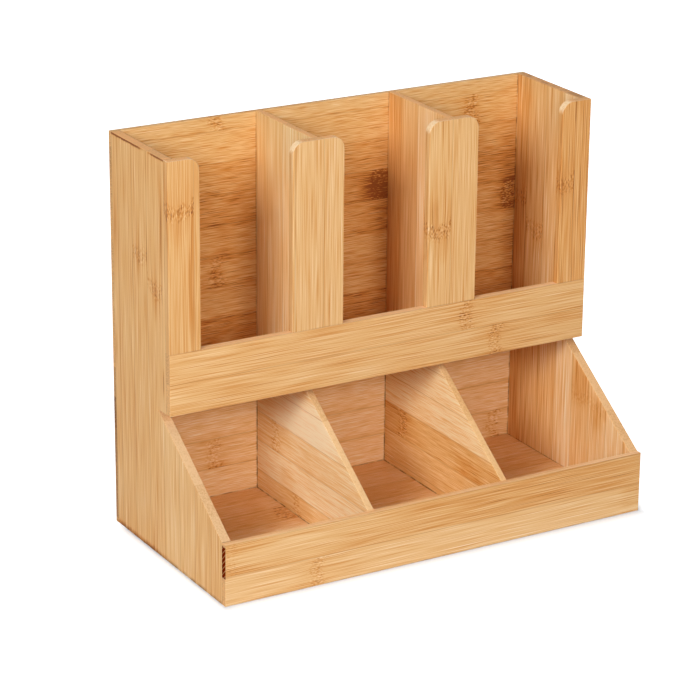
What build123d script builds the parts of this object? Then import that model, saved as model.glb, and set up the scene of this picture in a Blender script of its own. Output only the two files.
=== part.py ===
# Bamboo desktop organizer: three tall bays over three open bins with a sloped front.
# It is a set of thin boards glued together, and nothing on it moves.
# Millimetres. +X is to the right, +Y to the back and +Z up.
# The origin is on the table, at the middle of the footprint.
import os

from build123d import *

os.makedirs("parts", exist_ok=True)

# Overall size
overall_width = 345.0
overall_depth = 170.0
overall_height = 295.0

# Thickness of each kind of board
side_thickness = 7.0
back_thickness = 4.0
bottom_thickness = 4.5
shelf_thickness = 5.0
lip_thickness = 4.5
front_thickness = 6.0  # the rail and the flanges that stand on it
divider_thickness = 5.0

# Heights
shelf_height = 111.5  # from the table to the underside of the shelf and the rail
rail_height = 45.5  # the rail's own height
lip_height = 46.0

# Depths, measured forward from the back
upper_depth = 90.0  # to the front of the rail and the flanges
slope_top_depth = 70.5  # to where the sloped edge meets the shelf

# Dividers and flanges
divider_spacing = 110.5  # centre to centre
end_flange_width = 24.5
middle_flange_width = 41.0
flange_corner_radius = 9.0

# Joinery
side_housing_depth = 2.0  # how far the shelf and the bottom go into the side panels
divider_housing_depth = 1.5  # how far the dividers go into the back and the bottom
glue_gap = 0.1  # room for glue on each free side of a housing
arris_radius = 0.4  # rounding that sanding leaves along an open edge

# Places that follow from the sizes
back_y = overall_depth / 2
front_y = -overall_depth / 2
side_outer_x = overall_width / 2
side_inner_x = side_outer_x - side_thickness
back_face_y = back_y - back_thickness
lip_back_y = front_y + lip_thickness
rail_front_y = back_y - upper_depth
rail_back_y = rail_front_y + front_thickness
rail_top = shelf_height + rail_height
shelf_top = shelf_height + shelf_thickness
divider_x = divider_spacing / 2
hands = {"left": -1, "right": 1}

# The sloped edge that the side panels and the lower dividers share, as (y, z)
slope_foot = (lip_back_y, lip_height)
slope_top = (back_y - slope_top_depth, shelf_height)

# Where the dividers' edges end inside the bottom and the back panel
tongue_z = bottom_thickness - divider_housing_depth
tongue_y = back_face_y + divider_housing_depth
divider_housing_width = divider_thickness + 2 * glue_gap


def slope_arrises(board):
    """The two long edges of a board's sloped face."""
    sloped = board.faces().filter_by(lambda face: 0.1 < abs(face.normal_at().Z) < 0.9)
    return sloped.edges().filter_by(Axis.X, reverse=True)


# Side panels: an upright whose foot reaches forward under a slope.
# The rail and a flange cover the upright's front edge, the lip covers the foot's front edge
# and the back panel covers the rear edge.
side_outline = [
    (back_face_y, 0),
    (back_face_y, overall_height),
    (rail_back_y, overall_height),
    (rail_back_y, shelf_height),
    slope_top,
    slope_foot,
    (lip_back_y, 0),
]
for hand, sign in hands.items():
    outward = Axis((0, 0, 0), (sign, 0, 0))
    with BuildPart() as side_panel:
        with BuildSketch(Plane.YZ.offset(sign * side_outer_x)):
            with BuildLine():
                Polyline(side_outline, close=True)
            make_face()
        extrude(amount=-sign * side_thickness)
        top_arrises = side_panel.faces().sort_by(Axis.Z)[-1].edges().filter_by(Axis.Y)
        foot_face = side_panel.faces().sort_by(Axis.Z)[0]
        foot_arris = foot_face.edges().filter_by(Axis.Y).sort_by(outward)[-1]
        fillet([*top_arrises, *slope_arrises(side_panel), foot_arris], radius=arris_radius)

        # Housings for the bottom and the shelf, cut from the inner face
        with BuildSketch(Plane.YZ.offset(sign * side_inner_x)):
            with Locations((lip_back_y, 0)):
                Rectangle(back_face_y - lip_back_y, bottom_thickness + glue_gap, align=Align.MIN)
            with Locations((rail_back_y, shelf_height)):
                Rectangle(back_face_y - rail_back_y, shelf_thickness + glue_gap, align=Align.MIN)
        extrude(amount=sign * side_housing_depth, mode=Mode.SUBTRACT)
    side_panel.part.label = f"{hand}_side_panel"
    export_step(side_panel.part, f"parts/{hand}_side_panel.step")


# Back panel: one board over the full width and height, housed for the four dividers.
with BuildPart() as back_panel:
    with BuildSketch(Plane.XZ.offset(-back_y)):
        Rectangle(overall_width, overall_height, align=(Align.CENTER, Align.MIN))
    extrude(amount=back_thickness)
    rear_arrises = back_panel.faces().sort_by(Axis.Y)[-1].edges()
    top_end_arrises = back_panel.faces().sort_by(Axis.Z)[-1].edges().filter_by(Axis.Y)
    fillet([*rear_arrises, *top_end_arrises], radius=arris_radius)

    # The lower housings end under the shelf, and the upper ones run out at the top
    with BuildSketch(Plane.XZ.offset(-tongue_y)):
        with Locations((-divider_x, tongue_z), (divider_x, tongue_z)):
            Rectangle(divider_housing_width, shelf_height - tongue_z, align=(Align.CENTER, Align.MIN))
        with Locations((-divider_x, shelf_top), (divider_x, shelf_top)):
            Rectangle(divider_housing_width, overall_height - shelf_top, align=(Align.CENTER, Align.MIN))
    extrude(amount=divider_housing_depth, mode=Mode.SUBTRACT)
back_panel.part.label = "back_panel"
export_step(back_panel.part, "parts/back_panel.step")


# Bottom panel: the floor of the bins, let into the foot of both side panels.
housed_width = 2 * (side_inner_x + side_housing_depth)
with BuildPart() as bottom_panel:
    with BuildSketch(Plane.XY):
        with Locations((0, lip_back_y)):
            Rectangle(housed_width, back_face_y - lip_back_y, align=(Align.CENTER, Align.MIN))
    extrude(amount=bottom_thickness)
    with BuildSketch(Plane.XY.offset(tongue_z)):
        with Locations((-divider_x, lip_back_y), (divider_x, lip_back_y)):
            Rectangle(divider_housing_width, back_face_y - lip_back_y, align=(Align.CENTER, Align.MIN))
    extrude(amount=divider_housing_depth, mode=Mode.SUBTRACT)
bottom_panel.part.label = "bottom_panel"
export_step(bottom_panel.part, "parts/bottom_panel.step")


# Shelf: the floor of the tall bays, hidden behind the rail and let into both side panels.
with BuildPart() as shelf:
    with BuildSketch(Plane.XY.offset(shelf_height)):
        with Locations((0, rail_back_y)):
            Rectangle(housed_width, back_face_y - rail_back_y, align=(Align.CENTER, Align.MIN))
    extrude(amount=shelf_thickness)
shelf.part.label = "shelf"
export_step(shelf.part, "parts/shelf.step")


# Front lip: closes the bins in front and covers the ends of the side panels.
with BuildPart() as front_lip:
    with BuildSketch(Plane.XZ.offset(-lip_back_y)):
        Rectangle(overall_width, lip_height, align=(Align.CENTER, Align.MIN))
    extrude(amount=lip_thickness)
    lip_front_arrises = front_lip.faces().sort_by(Axis.Y)[0].edges()
    lip_end_arrises = front_lip.edges().filter_by(Axis.Y)
    lip_back_arris = front_lip.edges().filter_by(Axis.X).group_by(Axis.Z)[-1].sort_by(Axis.Y)[-1]
    fillet([*lip_front_arrises, *lip_end_arrises, lip_back_arris], radius=arris_radius)
front_lip.part.label = "front_lip"
export_step(front_lip.part, "parts/front_lip.step")


# Front rail: holds the shelf's front edge and carries the flanges.
with BuildPart() as front_rail:
    with BuildSketch(Plane.XZ.offset(-rail_back_y)):
        with Locations((0, shelf_height)):
            Rectangle(overall_width, rail_height, align=(Align.CENTER, Align.MIN))
    extrude(amount=front_thickness)
    rail_front_arrises = front_rail.faces().sort_by(Axis.Y)[0].edges()
    rail_end_arrises = front_rail.faces().sort_by(Axis.Z)[0].edges().filter_by(Axis.Y)
    fillet([*rail_front_arrises, *rail_end_arrises], radius=arris_radius)
front_rail.part.label = "front_rail"
export_step(front_rail.part, "parts/front_rail.step")


# Dividers: the lower ones follow the slope, and the upper ones run from the back to the flanges.
lower_outline = [
    (tongue_y, tongue_z),
    (tongue_y, shelf_height),
    slope_top,
    slope_foot,
    (lip_back_y, tongue_z),
]
for hand, sign in hands.items():
    middle = Plane.YZ.offset(sign * divider_x)
    with BuildPart() as lower_divider:
        with BuildSketch(middle):
            with BuildLine():
                Polyline(lower_outline, close=True)
            make_face()
        extrude(amount=divider_thickness / 2, both=True)
        fillet(slope_arrises(lower_divider), radius=arris_radius)
    lower_divider.part.label = f"{hand}_lower_divider"
    export_step(lower_divider.part, f"parts/{hand}_lower_divider.step")

    with BuildPart() as upper_divider:
        with BuildSketch(middle):
            with Locations((rail_back_y, shelf_top)):
                Rectangle(tongue_y - rail_back_y, overall_height - shelf_top, align=Align.MIN)
        extrude(amount=divider_thickness / 2, both=True)
        divider_top = upper_divider.faces().sort_by(Axis.Z)[-1]
        fillet(divider_top.edges().filter_by(Axis.Y), radius=arris_radius)
    upper_divider.part.label = f"{hand}_upper_divider"
    export_step(upper_divider.part, f"parts/{hand}_upper_divider.step")


# Flanges: they stand on the rail and narrow the mouth of each tall bay.
# An end flange laps a side panel and is rounded on its free corner only.
# A middle flange is centred on a divider and is rounded on both corners.
flange_height = overall_height - rail_top
for hand, sign in hands.items():
    outward = Axis((0, 0, 0), (sign, 0, 0))
    with BuildPart() as end_flange:
        with BuildSketch(Plane.XZ.offset(-rail_back_y)) as end_profile:
            with Locations((sign * (side_outer_x - end_flange_width / 2), rail_top)):
                Rectangle(end_flange_width, flange_height, align=(Align.CENTER, Align.MIN))
            free_corner = end_profile.vertices().group_by(Axis.Y)[-1].sort_by(outward)[0]
            fillet(free_corner, radius=flange_corner_radius)
        extrude(amount=front_thickness)
        bottom_edges = end_flange.faces().sort_by(Axis.Z)[0].edges()
        outer_edges = end_flange.faces().sort_by(outward)[-1].edges()
        seam = outer_edges.filter_by(Axis.Z).sort_by(Axis.Y)[-1]
        open_edges = [edge for edge in end_flange.edges() if edge not in [*bottom_edges, seam]]
        fillet(open_edges, radius=arris_radius)
    end_flange.part.label = f"{hand}_end_flange"
    export_step(end_flange.part, f"parts/{hand}_end_flange.step")

    with BuildPart() as middle_flange:
        with BuildSketch(Plane.XZ.offset(-rail_back_y)) as middle_profile:
            with Locations((sign * divider_x, rail_top)):
                Rectangle(middle_flange_width, flange_height, align=(Align.CENTER, Align.MIN))
            fillet(middle_profile.vertices().group_by(Axis.Y)[-1], radius=flange_corner_radius)
        extrude(amount=front_thickness)
        bottom_edges = middle_flange.faces().sort_by(Axis.Z)[0].edges()
        open_edges = [edge for edge in middle_flange.edges() if edge not in bottom_edges]
        fillet(open_edges, radius=arris_radius)
    middle_flange.part.label = f"{hand}_middle_flange"
    export_step(middle_flange.part, f"parts/{hand}_middle_flange.step")
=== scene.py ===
import math
from functools import partial

import bpy
from mathutils import Matrix, Vector

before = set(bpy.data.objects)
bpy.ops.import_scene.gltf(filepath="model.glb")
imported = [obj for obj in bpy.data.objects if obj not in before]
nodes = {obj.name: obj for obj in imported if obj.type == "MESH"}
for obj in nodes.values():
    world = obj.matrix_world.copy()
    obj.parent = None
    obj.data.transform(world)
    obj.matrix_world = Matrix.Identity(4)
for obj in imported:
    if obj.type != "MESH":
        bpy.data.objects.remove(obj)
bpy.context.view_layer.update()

MATHS = "ShaderNodeMath"
VECTOR_MATHS = "ShaderNodeVectorMath"
SPREAD = "ShaderNodeMapRange"
RAMP = "ShaderNodeValToRGB"
MIX = "ShaderNodeMix"
NOISE = "ShaderNodeTexNoise"
MAPPING = "ShaderNodeMapping"


def linear(code):
    """An sRGB hex colour as linear RGBA."""
    channels = [int(code[i : i + 2], 16) / 255 for i in (1, 3, 5)]
    return [c / 12.92 if c <= 0.04045 else ((c + 0.055) / 1.055) ** 2.4 for c in channels] + [1.0]


def add_node(tree, kind, inputs=None, stops=(), steps=False, **settings):
    """Adds a shader node with its settings, and links its inputs or gives them values.

    Inputs go by name or number. Stops are the places and colours of a colour ramp, which
    changes gradually or else in steps.
    """
    node = tree.nodes.new(kind)
    for name, value in settings.items():
        setattr(node, name, value)
    if stops:
        ramp = node.color_ramp
        ramp.interpolation = "CONSTANT" if steps else "LINEAR"
        while len(ramp.elements) < len(stops):
            ramp.elements.new(1.0)
        for element, (position, colour) in zip(ramp.elements, stops):
            element.position = position
            element.color = colour
    for name, value in (inputs or {}).items():
        if isinstance(value, bpy.types.Node):
            value = value.outputs[0]
        if isinstance(value, bpy.types.NodeSocket):
            tree.links.new(value, node.inputs[name])
        else:
            node.inputs[name].default_value = value
    return node


def empty_tree(owner):
    """Clears the shader nodes of a material or a world, and returns what adds nodes to it."""
    owner.use_nodes = True
    owner.node_tree.nodes.clear()
    return partial(add_node, owner.node_tree)


def direction(bearing, height):
    """The unit vector to a bearing from the front and a height above the level, in degrees."""
    bearing, height = math.radians(bearing), math.radians(height)
    level = math.cos(height)
    return Vector((level * math.sin(bearing), -level * math.cos(bearing), math.sin(height)))


# Bamboo: flat strips milled about 23 mm wide, edge glued into thin boards, sanded along the
# grain and given a clear satin lacquer. The eye sees strips that differ in tone, long darker
# fibres, a ragged mark where a strip crosses a node of the cane, and dotted end grain.
BAMBOO = {
    "smoked": linear("#8E4C1E"),
    "toast": linear("#C27733"),
    "amber": linear("#D28B43"),
    "plain": linear("#E0A969"),
    "pale": linear("#EBBC83"),
    "palest": linear("#F4D1A5"),
    "bleached": linear("#F8E2C2"),
    "glue": linear("#A9713B"),
    "seam": linear("#66310F"),
    "end_dark": linear("#5E2C10"),
    "end": linear("#D6A46C"),
    "end_pale": linear("#F3B475"),
    "slope": linear("#C99763"),
    "slope_pale": linear("#DEB589"),
    "corner": linear("#F8DDB4"),
    "edge_light": linear("#E6AD72"),
    "edge_light_pale": linear("#F9D09F"),
    "scorch": linear("#6A1C00"),
}

# The tone at which the wood has each colour. In between, one colour runs into the next.
WOOD_TONES = {
    "smoked": 0.0,
    "toast": 0.08,
    "amber": 0.25,
    "plain": 0.50,
    "pale": 0.75,
    "palest": 1.0,
    "bleached": 1.20,
}
PALEST_TONE = WOOD_TONES["bleached"]

# The tone of a whole strip, which its fibres and marks change from place to place
STRIP_TONES = {
    "cream": 1.00,
    "palest": 0.90,
    "paler": 0.80,
    "pale": 0.70,
    "light": 0.60,
    "plain": 0.50,
    "warm": 0.42,
    "honey": 0.35,
    "amber": 0.28,
}
END_TONE = 0.70  # of the end grain, where a board doesn't give its own

# Kinds of fibre, with their length and width in mm and how much they change the tone. The
# finest are about 0.2 mm wide in the cane, and are drawn 0.5 mm wide so that they show.
FIBRES = {
    "main": (14.0, 0.50, 1.45),
    "long": (80.0, 0.45, 0.95),
    "streaks": (180.0, 1.6, 0.15),
    "shades": (280.0, 6.0, 0.22),
}
STRIP_SHIFT = 173.3  # mm along the cane from one strip's fibres to the next one's
DRIFT = 0.9  # mm by which fibres drift aside

# The place of a node of the cane is coded in a colour channel, over this range of mm
NODE_FROM, NODE_SPAN = -200.0, 600.0

# The mark of a node, in mm along the grain
NODE_BOW = 4.0  # how far it bows from the middle of a strip to the edges
NODE_RAG = 14.0  # how far its edge wanders
NODE_BAND = (8.0, 3.0)  # how far from it the band of dashes ends, and where it is full
NODE_STREAKS = (-24.0, 40.0)  # where the dark streaks that reach out of it end
NODE_BEND, NODE_BEND_REACH = 5.0, 24.0  # how far aside fibres bend, and how far from it

# How much a node's dashes and streaks change the tone
DASH_CONTRAST, STREAK_DARKNESS = 1.8, 0.22

# The glue joint between two strips, with widths in mm
JOINT_WIDTH, JOINT_STRENGTH = 0.9, 0.45  # the thin dark line
JOINT_BAND = 8.0  # where the strips can be darker than elsewhere

# Painted light: a factor on each linear colour channel that tints the open tops of the upright
# boards less ruddy than the shade below, and the heights in mm where it starts and is full
TOP_LIGHT_TINT = (0.90, 0.96, 0.98, 1.0)
TOP_LIGHT_LEVELS = (225.0, 285.0)

# The satin lacquer, whose roughness varies with the streaks and is more on the end grain
GLOSS = 0.3
ROUGHEST, SMOOTHEST = 0.52, 0.40
END_ROUGHNESS = 0.2
RELIEF = 0.00012  # metres

# Where boards meet or end, in mm along X, Y and Z
LEFT_END, SIDE_FACE, DIVIDER_FACES = -172.5, 165.5, (-57.75, 52.75)
LIP_FRONT, LIP_BACK, RAIL_FRONT, RAIL_BACK, BACK_FACE = -85.0, -80.5, -5.0, 1.0, 81.0
TABLE, BIN_FLOOR, RAIL_TOP, OPEN_TOP = 0.0, 4.5, 157.0, 295.0

# What boards of a kind have in common. BOARDS says what each word means.
LOWER_DIVIDER = dict(
    axes="YZX",
    seams=[("Y", BACK_FACE, 1.2, 1.0), ("Z", BIN_FLOOR, 1.1, 0.9)],
)
UPPER_DIVIDER = dict(axes="ZYX", width=22.7, contrast=0.85, main_fibres=(50.0, 0.8))
FLANGE = dict(
    axes="ZXY", width=22.7, contrast=0.85, main_fibres=(50.0, 0.5), corners=True,
    seams=[("Y", RAIL_BACK, 0.5, 0.6), ("Z", RAIL_TOP, 0.6, 0.3)],
)

# Every board, in mm:
# axes: the axis along the grain, the one across the strips and the one through the board.
# width, first: the width of a strip, and the place of the first glue joint.
# strips: from that joint on, each with its tone and, where it crosses a node of the cane, the
#     node's place along the grain and how strong its mark is. Some tones are partly painted
#     light and shade, as noted where they stand.
# seed: a number that sets its fibres apart from those of the other boards.
# contrast: how much its fibres change the tone.
# main_fibres: the length and width of the fibres that show most.
# bands: how much a strip can darken towards its glue joints.
# cast: its hue, as a factor on each linear colour channel. The casts are partly painted light:
#     yellower on the lit boards in front, redder on the boards deep in the bays.
# ends: the tone of each strip's end grain.
# painted_edge_light: painted light makes its long narrow edges warmer and paler than its face.
# corners: its rounded corners get a painted highlight, paler and dotted like end grain.
# painted_top_light: how strongly painted light tints its open top less ruddy.
# scorch: the level and half height of the part of its left end that the saw has burnt.
# seams: with neighbouring boards. Each is a plane given by its axis and place, with its half
#     width and strength and, if only one face of the board has it, that face's axis and place.
# patches: amber, or pale if less than 0 dark. Each has its place and half width across the
#     grain, its place and half length along it, and how dark it is. Some are painted shade or
#     painted light, as noted where they stand.
BOARDS = {
    "left_side_panel": dict(
        axes="ZYX", width=22.6, first=-85.6, seed=1,
        contrast=0.9, main_fibres=(50.0, 0.75), cast=(0.95, 0.99, 1.0),
        seams=[
            ("Y", BACK_FACE, 0.5, 0.7),
            ("Y", LIP_BACK, 0.5, 0.6),
            # painted shade along the outer foot, where it stands on the table
            ("Z", TABLE, 3.0, 0.8, "X", LEFT_END),
            ("X", -165.8, 0.8, 0.5, "Z", OPEN_TOP),
        ],
        patches=[
            (6.0, 3.0, 250.0, 70.0, 0.16),
            (77.5, 2.0, 250.0, 60.0, 0.14),
            (4.5, 0.8, 133.0, 14.0, 0.5),
            # painted shade: a dark band along the foot
            (85.0, 110.0, TABLE, 4.8, 0.34),
            (62.0, 34.0, OPEN_TOP, 2.2, 0.9),
            (8.0, 18.0, OPEN_TOP, 2.0, 0.7),
        ],
        strips=[
            "plain", "plain", "light", "light",
            ("plain", 198, 0.75), ("plain", 216, 0.75), "plain", "plain",
        ],
    ),
    "right_side_panel": dict(
        axes="ZYX", width=22.7, first=-94.3, seed=2,
        contrast=1.05, main_fibres=(50.0, 0.9), cast=(1.03, 1.0, 0.92), painted_top_light=0.4,
        seams=[
            ("Y", BACK_FACE, 0.7, 0.8),
            ("Z", BIN_FLOOR, 0.7, 0.7),
            ("X", 172.3, 2.0, 0.9, "Z", OPEN_TOP),
            ("X", 169.0, 6.0, 0.45, "Z", OPEN_TOP),
        ],
        patches=[
            (-15.0, 12.0, 80.0, 26.0, 0.26),
            (-38.0, 9.0, 62.0, 18.0, 0.17),
            (-47.0, 2.5, 64.0, 7.0, 0.2),
            # painted shadow in the lower bay, behind the rail and the shelf
            (26.0, 22.0, 45.0, 50.0, 0.14),
        ],
        # Its strips darken towards the back, partly painted shade in the back corner of the bays
        strips=[
            "paler", ("palest", 30, 0.2), ("paler", 66, 0.4), ("pale", 66, 0.4),
            "palest", "pale", ("light", 179, 0.9), ("warm", 200, 0.6),
        ],
    ),
    "back_panel": dict(
        axes="XZY", width=23.4, first=-19.9, seed=3,
        contrast=0.9, bands=0.18, cast=(1.04, 1.02, 0.99), painted_top_light=1.0,
        ends=[0.45, 0.4, 0.32, 0.3, 0.32, 0.4, 0.5, 0.5, 0.5, 0.5, 0.5, 0.5, 0.5, 0.5],
        seams=[
            ("X", SIDE_FACE, 1.1, 0.8, "Y", BACK_FACE),
            *(("X", face, 1.2, 0.6, "Y", BACK_FACE) for face in DIVIDER_FACES),
            ("Z", BIN_FLOOR, 1.1, 0.8, "Y", BACK_FACE),
        ],
        patches=[
            (226.0, 12.0, 52.0, 28.0, 0.32),
            # The last three patches are painted shade in the right-hand corners of the bays
            (200.0, 14.0, 50.0, 26.0, 0.12),
            (190.0, 60.0, 166.0, 20.0, 0.15),
            (180.0, 55.0, 53.0, 16.0, 0.10),
        ],
        # The strips are partly painted light and shade: paler in the lower bays, darker low in the
        # tall bays
        strips=[
            "palest", ("paler", 150, 0.9), ("paler", -95, 0.9), "paler", "pale",
            "plain", "amber", "warm", ("warm", -92, 0.6), ("honey", 157, 1.0),
            ("amber", 42, 0.9), "honey", ("plain", 124, 0.8), ("light", -92, 0.8),
        ],
    ),
    "bottom_panel": dict(
        axes="XYZ", width=23.2, first=-99.6, seed=4, cast=(1.04, 1.0, 1.0),
        seams=[
            ("X", SIDE_FACE, 0.7, 0.6, "Z", BIN_FLOOR),
            *(("X", face, 0.7, 0.8, "Z", BIN_FLOOR) for face in DIVIDER_FACES),
        ],
        strips=[
            "light", "pale", "light", "pale", "pale",
            ("light", -66, 0.95), "pale", "light", "light",
        ],
    ),
    "shelf": dict(
        axes="XYZ", width=23.0, first=-8.0, seed=5,
        strips=["plain", ("light", 60, 0.6), "warm", "plain", "plain"],
    ),
    "front_lip": dict(
        axes="XZY", width=23.6, first=-2.1, seed=6,
        contrast=0.85, main_fibres=(50.0, 0.5), cast=(0.94, 1.01, 1.12),
        ends=[0.55, 0.55], painted_edge_light=True, scorch=(32.3, 12.1),
        seams=[("Z", TABLE, 1.0, 0.4, "Y", LIP_FRONT)],
        patches=[
            (38.0, 18.0, -125.0, 100.0, -0.1),
            (34.0, 14.0, 80.0, 120.0, 0.08),
            (12.0, 12.0, 168.0, 16.0, 0.1),
        ],
        strips=[("light", -101, 0.7), ("warm", -170, 0.3)],
    ),
    "front_rail": dict(
        axes="XZY", width=23.2, first=111.2, seed=7,
        contrast=0.85, main_fibres=(50.0, 0.5), bands=0.2, cast=(0.94, 1.0, 1.08),
        ends=[0.55, 0.55], painted_edge_light=True,
        seams=[("Y", RAIL_BACK, 0.5, 0.6), ("Z", RAIL_TOP, 0.6, 0.2, "Y", RAIL_FRONT)],
        patches=[(132.0, 7.0, 165.0, 40.0, 0.12)],
        strips=[("plain", 93, 0.72), ("plain", 68, 0.78)],
    ),
    "left_lower_divider": dict(
        LOWER_DIVIDER, width=23.4, first=-3.3, seed=8, contrast=0.7, cast=(1.03, 1.04, 0.96),
        patches=[
            # Painted light and shade: the first and last patch are pale where light falls in over the slope,     the second is painted shade
            (82.0, 22.0, 5.0, 60.0, -0.25),
            (28.0, 12.0, 35.0, 16.0, 0.12),
            (92.0, 12.0, 62.0, 20.0, -0.1),
        ],
        # Its pale strips are partly painted light, lifting the lower bay out of its shade
        strips=[("paler", 20, 0.9), "cream", ("palest", 51, 0.9), "cream", "palest"],
    ),
    "right_lower_divider": dict(
        LOWER_DIVIDER, width=22.5, first=-13.0, seed=9, contrast=0.85, cast=(1.04, 1.01, 0.87),
        patches=[(38.0, 9.0, -40.0, 24.0, 0.2)],
        strips=["pale", "pale", ("light", 54, 1.0), "cream", "cream", "cream"],
    ),
    "left_upper_divider": dict(
        UPPER_DIVIDER, first=-3.1, seed=10, cast=(1.04, 1.01, 0.90), painted_top_light=0.9,
        # Its strips darken towards the back, partly painted shade in the back corner
        strips=["palest", "palest", "paler", "pale", "pale"],
    ),
    "right_upper_divider": dict(
        UPPER_DIVIDER, first=-4.9, seed=11, cast=(1.06, 1.0, 0.93), painted_top_light=0.45,
        # Its strips darken towards the back, partly painted shade in the back corner
        strips=["pale", "paler", "light", "warm", "warm"],
    ),
    "left_end_flange": dict(
        FLANGE, width=22.0, first=-174.5, seed=12, contrast=0.6, cast=(0.93, 1.01, 1.13),
        patches=[(-154.5, 2.8, 200.0, 52.0, 0.2)],
        strips=[("warm", 257, 0.65), "warm"],
    ),
    "left_middle_flange": dict(
        FLANGE, first=-96.4, seed=13, cast=(0.93, 1.01, 1.13),
        strips=["plain", "plain", "plain"],
    ),
    "right_middle_flange": dict(
        FLANGE, first=31.3, seed=14, cast=(0.94, 1.0, 1.08),
        patches=[(41.0, 4.5, 224.0, 18.0, 0.1), (48.0, 4.0, 200.0, 16.0, 0.1)],
        strips=[("plain", 212, 0.88), "plain"],
    ),
    "right_end_flange": dict(
        FLANGE, first=137.3, seed=15, cast=(0.98, 1.02, 1.08),
        strips=[("honey", 232, 0.55), "honey"],
    ),
}


def strip_stops(strips, ends):
    """Each strip's tone, the place and strength of its node, and its end tone, as a colour."""
    stops = []
    for i, strip in enumerate(strips):
        tone, node_at, strength = strip if isinstance(strip, tuple) else (strip, NODE_FROM, 0.0)
        node_share = (node_at - NODE_FROM) / NODE_SPAN
        end_tone = ends[i] if ends else END_TONE
        stops.append((i / len(strips), (STRIP_TONES[tone], node_share, strength, end_tone)))
    return stops


def node_dashes(add, seed, cane, node_gap, node_strength):
    """A node's mark: a soft band full of short dark and pale dashes."""
    band_end, band_full = NODE_BAND
    band = add(
        SPREAD,
        {0: node_gap, "From Min": band_end, "From Max": band_full},
        interpolation_type="SMOOTHSTEP",
    )
    band_strength = add(MATHS, {0: band, 1: node_strength}, operation="MULTIPLY")
    dash_place = add(
        MAPPING, {0: cane, "Location": (0, 0, seed * 2.3), "Scale": (0.45, 1.4, 1.4)}
    )
    dashes = add(NOISE, {"Vector": dash_place, "Scale": 1.0, "Detail": 1.0})
    off_dash = add(MATHS, {0: dashes, 1: 0.55}, operation="SUBTRACT")
    return add(MATHS, {0: off_dash, 1: band_strength}, operation="MULTIPLY")


def node_streaks(add, streaks, from_node, node_strength):
    """Streaks of darker fibre that reach out of a node on both sides."""
    reach_from, reach_to = NODE_STREAKS
    reach_place = add(SPREAD, {0: from_node, "From Min": reach_from, "From Max": reach_to})
    reach_levels = ((0.0, 0.0), (0.35, 1.0), (0.55, 0.6), (1.0, 0.0))
    reach = add(
        RAMP,
        {0: reach_place},
        stops=[(at, (level, level, level, 1.0)) for at, level in reach_levels],
    )
    reach_strength = add(MATHS, {0: reach, 1: node_strength}, operation="MULTIPLY")
    dark = add(SPREAD, {0: streaks, "From Min": 0.62, "From Max": 0.40, "To Min": 0.25})
    return add(MATHS, {0: reach_strength, 1: dark}, operation="MULTIPLY")


def patch_share(add, across, along, streaks, at_across, half_width, at_along, half_length):
    """How far each point lies in a patch, whose ends flame out along the streaks."""
    flame = 0.8 * half_length
    off_across = add(MATHS, {0: across, 1: at_across}, operation="SUBTRACT")
    off_along = add(MATHS, {0: along, 1: at_along + flame / 2}, operation="SUBTRACT")
    flaming = add(MATHS, {0: streaks, 1: flame, 2: off_along}, operation="MULTIPLY_ADD")
    shares = []
    for offset, half, full in ((off_across, half_width, 0.5), (flaming, half_length, 0.3)):
        gap = add(MATHS, {0: offset}, operation="ABSOLUTE")
        shares.append(add(
            SPREAD,
            {0: gap, "From Min": half, "From Max": full * half},
            interpolation_type="SMOOTHSTEP",
        ))
    return add(MATHS, {0: shares[0], 1: shares[1]}, operation="MULTIPLY")


def seam_share(add, mm, place, seams):
    """How far each point lies on a seam: a hair of shadow and glue that comes and goes."""
    share = 0.0
    for axis, at, half_width, strength, *face in seams:
        offset = add(MATHS, {0: place.outputs[axis], 1: at}, operation="SUBTRACT")
        gap = add(MATHS, {0: offset}, operation="ABSOLUTE")
        line = add(SPREAD, {0: gap, "From Min": half_width, "From Max": 0.0, "To Max": strength})
        if face:
            face_axis, face_at = face
            from_face = add(MATHS, {0: place.outputs[face_axis], 1: face_at}, operation="SUBTRACT")
            off_face = add(MATHS, {0: from_face}, operation="ABSOLUTE")
            on_face = add(SPREAD, {0: off_face, "From Min": 0.6, "From Max": 0.3})
            line = add(MATHS, {0: line, 1: on_face}, operation="MULTIPLY")
        share = add(MATHS, {0: share, 1: line}, operation="MAXIMUM")
    patch_place = add(MAPPING, {0: mm, "Scale": (0.12, 0.12, 0.12)})
    patches = add(NOISE, {"Vector": patch_place, "Scale": 1.0, "Detail": 3.0})
    patchy = add(SPREAD, {0: patches, "From Min": 0.38, "From Max": 0.58, "To Min": 0.25})
    return add(MATHS, {0: share, 1: patchy}, operation="MULTIPLY")


def scorch_share(add, place, level, half_height):
    """How far the left end is scorched around a level, with slanting scratches that are pale."""
    off_level = add(MATHS, {0: place.outputs["Z"], 1: level}, operation="SUBTRACT")
    level_gap = add(MATHS, {0: off_level}, operation="ABSOLUTE")
    at_level = add(SPREAD, {0: level_gap, "From Min": half_height, "From Max": half_height - 0.8})
    off_end = add(MATHS, {0: place.outputs["X"], 1: LEFT_END}, operation="SUBTRACT")
    end_gap = add(MATHS, {0: off_end}, operation="ABSOLUTE")
    at_end = add(SPREAD, {0: end_gap, "From Min": 0.5, "From Max": 0.2})
    slant = add(MATHS, {0: place.outputs["Y"], 1: place.outputs["Z"]}, operation="ADD")
    scratch_place = add(MATHS, {0: slant, 1: 0.26}, operation="MULTIPLY")
    in_scratch = add(MATHS, {0: scratch_place}, operation="FRACT")
    between = add(SPREAD, {0: in_scratch, "From Min": 0.95, "From Max": 0.7, "To Min": 0.45})
    burnt = add(MATHS, {0: at_level, 1: at_end}, operation="MULTIPLY")
    return add(MATHS, {0: burnt, 1: between}, operation="MULTIPLY")


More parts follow.
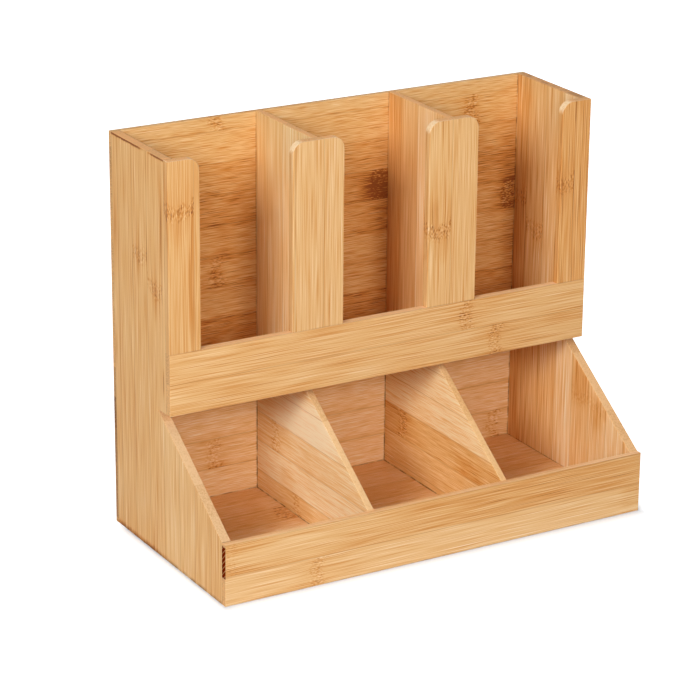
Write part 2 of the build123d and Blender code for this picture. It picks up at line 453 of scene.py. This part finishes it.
def bamboo(
    name, axes, width, first, strips, seed, contrast=1.0, main_fibres=FIBRES["main"][:2],
    bands=0.08, cast=(1.0, 1.0, 1.0), ends=None, painted_edge_light=False, corners=False, painted_top_light=0.0,
    scorch=None, seams=(), patches=(),
):
    """The material of one bamboo board, as BOARDS describes it.

    The scales of its patterns are per mm, and each pattern is moved by its own multiple of the
    seed, so that no two agree.
    """

    def shade(colour):
        return [channel * factor for channel, factor in zip(BAMBOO[colour], (*cast, 1.0))]

    material = bpy.data.materials.new(f"sanded_bamboo_{name}")
    add = empty_tree(material)

    # Millimetres on the board: along the grain, across the strips and through the board
    coordinates = add("ShaderNodeTexCoord").outputs["Object"]
    mm = add(VECTOR_MATHS, {0: coordinates, "Scale": 1000.0}, operation="SCALE")
    place = add("ShaderNodeSeparateXYZ", {0: mm})
    along, across, through = (place.outputs[axis] for axis in axes)

    # Which strip this is, with its tone, its node and the tone of its end
    strip_place = add(
        MATHS, {0: across, 1: 1 / width, 2: -first / width}, operation="MULTIPLY_ADD"
    )
    strip_number = add(MATHS, {0: strip_place}, operation="FLOOR")
    in_strip = add(MATHS, {0: strip_place}, operation="FRACT")
    count = len(strips)
    strip_share = add(
        MATHS, {0: strip_number, 1: 1 / count, 2: 0.5 / count}, operation="MULTIPLY_ADD"
    )
    strip_facts = add(RAMP, {0: strip_share}, stops=strip_stops(strips, ends), steps=True)
    end_tone = strip_facts.outputs["Alpha"]
    tone, node_share, node_strength = add("ShaderNodeSeparateColor", {0: strip_facts}).outputs[0:3]

    # Each strip has its own fibres, because it is cut from another place of the cane
    shifted = add(MATHS, {0: strip_number, 1: STRIP_SHIFT, 2: along}, operation="MULTIPLY_ADD")
    cane = add("ShaderNodeCombineXYZ", {0: shifted, 1: across, 2: through})

    # Distance from the node, which bows across the strip and has a ragged edge
    straight = add(MATHS, {0: node_share, 1: -NODE_SPAN, 2: along}, operation="MULTIPLY_ADD")
    off_middle = add(MATHS, {0: in_strip, 1: 2.0, 2: -1.0}, operation="MULTIPLY_ADD")
    bow = add(MATHS, {0: off_middle, 1: off_middle}, operation="MULTIPLY")
    bowed = add(MATHS, {0: bow, 1: -NODE_BOW, 2: straight}, operation="MULTIPLY_ADD")
    rag_place = add(MAPPING, {0: cane, "Location": (seed * 7.1, 0, 0), "Scale": (0.1, 0.2, 0.2)})
    rag = add(NOISE, {"Vector": rag_place, "Scale": 1.0, "Detail": 2.0})
    ragged = add(MATHS, {0: rag, 1: NODE_RAG, 2: bowed}, operation="MULTIPLY_ADD")
    from_node = add(MATHS, {0: ragged, 1: NODE_FROM + NODE_RAG / 2}, operation="SUBTRACT")
    node_gap = add(MATHS, {0: from_node}, operation="ABSOLUTE")

    # Fibres bend round a node, and drift a little elsewhere
    near_node = add(
        SPREAD,
        {0: node_gap, "From Min": NODE_BEND_REACH, "From Max": 0.0, "To Max": NODE_BEND},
        interpolation_type="SMOOTHSTEP",
    )
    bend_most = add(MATHS, {0: near_node, 1: node_strength, 2: DRIFT}, operation="MULTIPLY_ADD")
    bend_place = add(
        MAPPING, {0: cane, "Location": (0, seed * 5.3, 0), "Scale": (0.022, 0.07, 0.07)}
    )
    bends = add(NOISE, {"Vector": bend_place, "Scale": 1.0, "Detail": 1.0})
    bend_share = add(MATHS, {0: bends, 1: 0.5}, operation="SUBTRACT")
    bent = add(MATHS, {0: bend_share, 1: bend_most, 2: across}, operation="MULTIPLY_ADD")
    grain = add("ShaderNodeCombineXYZ", {0: shifted, 1: bent, 2: through})
    fibres = {}
    for kind, (length, size, _) in FIBRES.items():
        if kind == "main":
            length, size = main_fibres
        fibre_place = add(MAPPING, {
            0: grain,
            "Location": (seed * 11.7, seed * 3.9, 0),
            "Scale": (1 / length, 1 / size, 1 / size),
        })
        fibres[kind] = add(NOISE, {"Vector": fibre_place, "Scale": 1.0, "Detail": 1.0})

    dashes = node_dashes(add, seed, cane, node_gap, node_strength)
    dark_streaks = node_streaks(add, fibres["streaks"], from_node, node_strength)

    # Some strips are darker along their glue joints than others
    joint_gap = add(MATHS, {0: off_middle}, operation="ABSOLUTE")
    joint_band = add(
        SPREAD, {0: joint_gap, "From Min": 1.0 - JOINT_BAND / width, "From Max": 1.0}
    )
    strip_luck = add("ShaderNodeTexWhiteNoise", {"W": strip_number}, noise_dimensions="1D")
    joint_shade = add(MATHS, {0: joint_band, 1: strip_luck}, operation="MULTIPLY")

    # All of these change the tone, which gives the colour of the wood
    amounts = [amount * contrast for _, _, amount in FIBRES.values()]
    value = add(MATHS, {0: tone, 1: sum(amounts) / 2}, operation="SUBTRACT")
    marks = ((dark_streaks, -STREAK_DARKNESS), (dashes, DASH_CONTRAST), (joint_shade, -bands))
    for source, amount in (*zip(fibres.values(), amounts), *marks):
        value = add(MATHS, {0: source, 1: amount, 2: value}, operation="MULTIPLY_ADD")
    for *patch, darkness in patches:
        in_patch = patch_share(add, across, along, fibres["streaks"], *patch)
        value = add(MATHS, {0: in_patch, 1: -darkness, 2: value}, operation="MULTIPLY_ADD")
    wood_place = add(MATHS, {0: value, 1: 1 / PALEST_TONE}, operation="MULTIPLY")
    wood_stops = [(at / PALEST_TONE, shade(wood)) for wood, at in WOOD_TONES.items()]
    colour = add(RAMP, {0: wood_place}, stops=wood_stops).outputs[0]

    # Painted light: the open tops of the upright boards are tinted less ruddy than the shade below
    if painted_top_light:
        top_light_from, top_light_to = TOP_LIGHT_LEVELS
        high = add(
            SPREAD,
            {0: place.outputs["Z"], "From Min": top_light_from, "From Max": top_light_to, "To Max": painted_top_light},
            interpolation_type="SMOOTHSTEP",
        )
        colour = add(
            MIX, {0: high, 6: colour, 7: TOP_LIGHT_TINT}, data_type="RGBA", blend_type="MULTIPLY"
        ).outputs[2]

    # What covers the wood, from the lowest layer to the topmost: how much, and its colour
    layers = []
    facing = add("ShaderNodeSeparateXYZ", {0: add("ShaderNodeNewGeometry").outputs["Normal"]})
    # Painted light: the long narrow edges, such as the tops of the lip and the rail, are painted
    # warmer and paler
    if painted_edge_light:
        on_edge = add(MATHS, {0: facing.outputs[axes[1]]}, operation="ABSOLUTE")
        edge_light_stops = [(0.15, BAMBOO["edge_light"]), (0.55, BAMBOO["edge_light_pale"])]
        layers.append((on_edge, add(RAMP, {0: wood_place}, stops=edge_light_stops)))

    # The thin dark glue joint between two strips
    joint = add(SPREAD, {
        0: joint_gap,
        "From Min": 1.0 - JOINT_WIDTH / width,
        "From Max": 1.0,
        "To Max": JOINT_STRENGTH,
    })
    layers.append((joint, shade("glue")))

    # End grain: cut fibres show as dots, and each strip has its own tone
    along_facing = add(MATHS, {0: facing.outputs[axes[0]]}, operation="ABSOLUTE")
    on_end = add(SPREAD, {0: along_facing, "From Min": 0.4, "From Max": 0.85})
    dot_place = add(
        MAPPING, {0: cane, "Location": (0, seed * 1.7, 0), "Scale": (0.02, 1.0, 1.0)}
    )
    dots = add(NOISE, {"Vector": dot_place, "Scale": 1.0, "Detail": 2.0})
    dotted = add(MATHS, {0: dots, 1: 0.5, 2: end_tone}, operation="MULTIPLY_ADD")
    end_luck = add(MATHS, {0: strip_luck, 1: 0.5}, operation="SUBTRACT")
    end_value = add(MATHS, {0: end_luck, 1: 0.12, 2: dotted}, operation="MULTIPLY_ADD")
    end_stops = [(0.40, BAMBOO["end_dark"]), (0.80, BAMBOO["end"]), (1.0, BAMBOO["end_pale"])]
    layers.append((on_end, add(RAMP, {0: end_value}, stops=end_stops)))

    # The sloped cuts are sanded less, and their open fibre ends look duller
    tilt = add(MATHS, {0: facing.outputs["Y"], 1: facing.outputs["Z"]}, operation="MULTIPLY")
    steep = add(MATHS, {0: tilt}, operation="ABSOLUTE")
    on_slope = add(SPREAD, {0: steep, "From Min": 0.2, "From Max": 0.42, "To Max": 0.9})
    slope_stops = [(0.80, shade("slope")), (1.0, shade("slope_pale"))]
    layers.append((on_slope, add(RAMP, {0: end_value}, stops=slope_stops)))

    # Painted highlight: the rounded corners are painted paler, dotted like end grain
    if corners:
        turn = add(MATHS, {0: facing.outputs["X"], 1: facing.outputs["Z"]}, operation="MULTIPLY")
        turned = add(MATHS, {0: turn}, operation="ABSOLUTE")
        on_corner = add(SPREAD, {0: turned, "From Min": 0.04, "From Max": 0.35, "To Max": 1.4})
        painted_highlight = add(MATHS, {0: on_corner, 1: dots}, operation="MULTIPLY")
        layers.append((painted_highlight, BAMBOO["corner"]))

    # Scorched wood, and the seams' glue and painted shadow, are matt
    matt = None
    if scorch:
        matt = scorch_share(add, place, *scorch)
        layers.append((matt, BAMBOO["scorch"]))
    if seams:
        in_seam = seam_share(add, mm, place, seams)
        layers.append((in_seam, BAMBOO["seam"]))
        matt = add(MATHS, {0: in_seam, 1: matt}, operation="MAXIMUM") if matt else in_seam
    gloss = add(SPREAD, {0: matt, "To Min": GLOSS, "To Max": 0.0}) if matt else GLOSS

    for share, layer in layers:
        colour = add(MIX, {0: share, 6: colour, 7: layer}, data_type="RGBA").outputs[2]

    # Fibres and node marks stand a few hundredths of a millimetre proud under the lacquer
    relief = add(MATHS, {0: fibres["long"], 1: 0.6, 2: dashes}, operation="MULTIPLY_ADD")
    bump = add("ShaderNodeBump", {"Strength": 0.35, "Distance": RELIEF, "Height": relief})
    roughness = add(SPREAD, {
        0: fibres["streaks"],
        "From Min": 0.3,
        "From Max": 0.7,
        "To Min": ROUGHEST,
        "To Max": SMOOTHEST,
    })
    rough_end = add(MATHS, {0: on_end, 1: END_ROUGHNESS, 2: roughness}, operation="MULTIPLY_ADD")
    shader = add("ShaderNodeBsdfPrincipled", {
        "Base Color": colour,
        "Roughness": rough_end,
        "Normal": bump,
        "IOR": 1.45,
        "Specular IOR Level": gloss,
    })
    add("ShaderNodeOutputMaterial", {"Surface": shader})
    return material


for name, board in BOARDS.items():
    nodes[name].data.materials.clear()
    nodes[name].data.materials.append(bamboo(name, **board))


# The floor is matt white board. For the camera it glows too: hardly at the foot of the object,
# where the contact shadow stays, and more further off, until it is the white of the backdrop.
# The foot here ends 20 mm short of the object's back, so the shadow hardly shows there. The
# glow grows more slowly along the depth, so the shadow is softest in front. All in metres.
FOOT_MIDDLE = (0.0, -0.010, 0.0)
FOOT_HALF = (0.1725, 0.075, 0.0)
DISTANCE_WEIGHTS = (1.0, 0.45, 1.0)
GLOW_REACH = 0.20
GLOW = ((0.0, 0.05), (0.012, 0.30), (0.035, 0.62), (0.12, 0.82), (1.0, 1.0))
floor_material = bpy.data.materials.new("matt_white_board")
add = empty_tree(floor_material)
floor_place = add("ShaderNodeTexCoord").outputs["Object"]
grit = add(NOISE, {"Vector": floor_place, "Scale": 400.0, "Detail": 2.0})
paper = add(RAMP, {0: grit}, stops=[(0.3, linear("#E0E4E9")), (0.7, linear("#E4E8ED"))])
matt_paper = add("ShaderNodeBsdfDiffuse", {"Color": paper})
from_middle = add(VECTOR_MATHS, {0: floor_place, 1: FOOT_MIDDLE}, operation="SUBTRACT")
off_middle = add(VECTOR_MATHS, {0: from_middle}, operation="ABSOLUTE")
past_foot = add(VECTOR_MATHS, {0: off_middle, 1: FOOT_HALF}, operation="SUBTRACT")
outside = add(VECTOR_MATHS, {0: past_foot, 1: (0.0, 0.0, 0.0)}, operation="MAXIMUM")
weighted = add(VECTOR_MATHS, {0: outside, 1: DISTANCE_WEIGHTS}, operation="MULTIPLY")
from_foot = add(VECTOR_MATHS, {0: weighted}, operation="LENGTH").outputs["Value"]
glow_place = add(MATHS, {0: from_foot, 1: 1 / GLOW_REACH}, operation="MULTIPLY")
glow_stops = [(at, (level, level, level, 1.0)) for at, level in GLOW]
glow_level = add(RAMP, {0: glow_place}, stops=glow_stops)
seen = add("ShaderNodeLightPath").outputs["Is Camera Ray"]
glow_seen = add(MATHS, {0: seen, 1: glow_level}, operation="MULTIPLY")
glow = add("ShaderNodeEmission", {"Color": (1, 1, 1, 1), "Strength": glow_seen})
glowing_paper = add("ShaderNodeAddShader", {0: matt_paper, 1: glow})
add("ShaderNodeOutputMaterial", {"Surface": glowing_paper})

# It lies a tenth of a millimetre under the object, so that their faces don't coincide
FLOOR_HALF = 3.0
FLOOR_LEVEL = -0.0001
floor_corners = [
    (x * FLOOR_HALF, y * FLOOR_HALF, FLOOR_LEVEL) for x, y in ((-1, -1), (1, -1), (1, 1), (-1, 1))
]
floor_mesh = bpy.data.meshes.new("floor")
floor_mesh.from_pydata(floor_corners, [], [(0, 1, 2, 3)])
floor_mesh.materials.append(floor_material)
floor = bpy.data.objects.new("floor", floor_mesh)
bpy.context.scene.collection.objects.link(floor)

# The world: even fill light, and a white backdrop for the camera
WORLD_FILL = 0.10
world = bpy.data.worlds.new("studio")
bpy.context.scene.world = world
add = empty_tree(world)
seen = add("ShaderNodeLightPath").outputs["Is Camera Ray"]
strength = add(SPREAD, {0: seen, "To Min": WORLD_FILL, "To Max": 1.0})
backdrop = add("ShaderNodeBackground", {"Color": (1, 1, 1, 1), "Strength": strength})
add("ShaderNodeOutputWorld", {"Surface": backdrop})

# Softboxes, all aimed at the middle of the object. The key light stands low at the left, and
# the one behind only rims the edges in this view. Each has its bearing from the front and its
# height above the aim in degrees, its size in metres and its watts.
SOFTBOX_AIM = Vector((0.0, 0.0, 0.15))
SOFTBOX_DISTANCE = 2.5
SOFTBOXES = {
    "key": (-57.0, 25.0, 0.8, 45.7),
    "front": (-10.0, 20.0, 0.9, 25.3),
    "top": (0.0, 86.0, 0.9, 10.5),
    "behind": (140.0, 38.0, 1.1, 9.0),
}
for name, (bearing, height, size, watts) in SOFTBOXES.items():
    light = bpy.data.lights.new(f"softbox_{name}", "AREA")
    light.shape = "SQUARE"
    light.size = size
    light.energy = watts
    lamp = bpy.data.objects.new(light.name, light)
    lamp.location = SOFTBOX_AIM + SOFTBOX_DISTANCE * direction(bearing, height)
    lamp.rotation_euler = (SOFTBOX_AIM - lamp.location).to_track_quat("-Z", "Y").to_euler()
    bpy.context.scene.collection.objects.link(lamp)

# Camera: front left of the object, looking slightly down. Its angles are in degrees and its
# lens in millimetres. It aims a little left of the object's middle and under it, as the photo
# is framed.
AZIMUTH, ELEVATION, ROLL = -30.41, 20.01, 0.55
DISTANCE = 2.0497
LENS, SENSOR = 147.0, 36.0
OBJECT_MIDDLE = Vector((0.0, 0.0, 0.1475))
AIM_RIGHT, AIM_UP = -0.02243, -0.01732
back = direction(AZIMUTH, ELEVATION)
right = direction(AZIMUTH + 90.0, 0.0)
up = back.cross(right)
aim = OBJECT_MIDDLE + right * AIM_RIGHT + up * AIM_UP
roll = Matrix.Rotation(math.radians(ROLL), 3, "Z")
camera_axes = Matrix((right, up, back)).transposed() @ roll
camera_data = bpy.data.cameras.new("camera")
camera_data.lens = LENS
camera_data.sensor_width = SENSOR
camera_data.clip_end = 20.0
camera = bpy.data.objects.new("camera", camera_data)
camera.matrix_world = Matrix.Translation(aim + back * DISTANCE) @ camera_axes.to_4x4()
bpy.context.scene.collection.objects.link(camera)
bpy.context.scene.camera = camera
bpy.context.scene.view_settings.view_transform = "Standard"
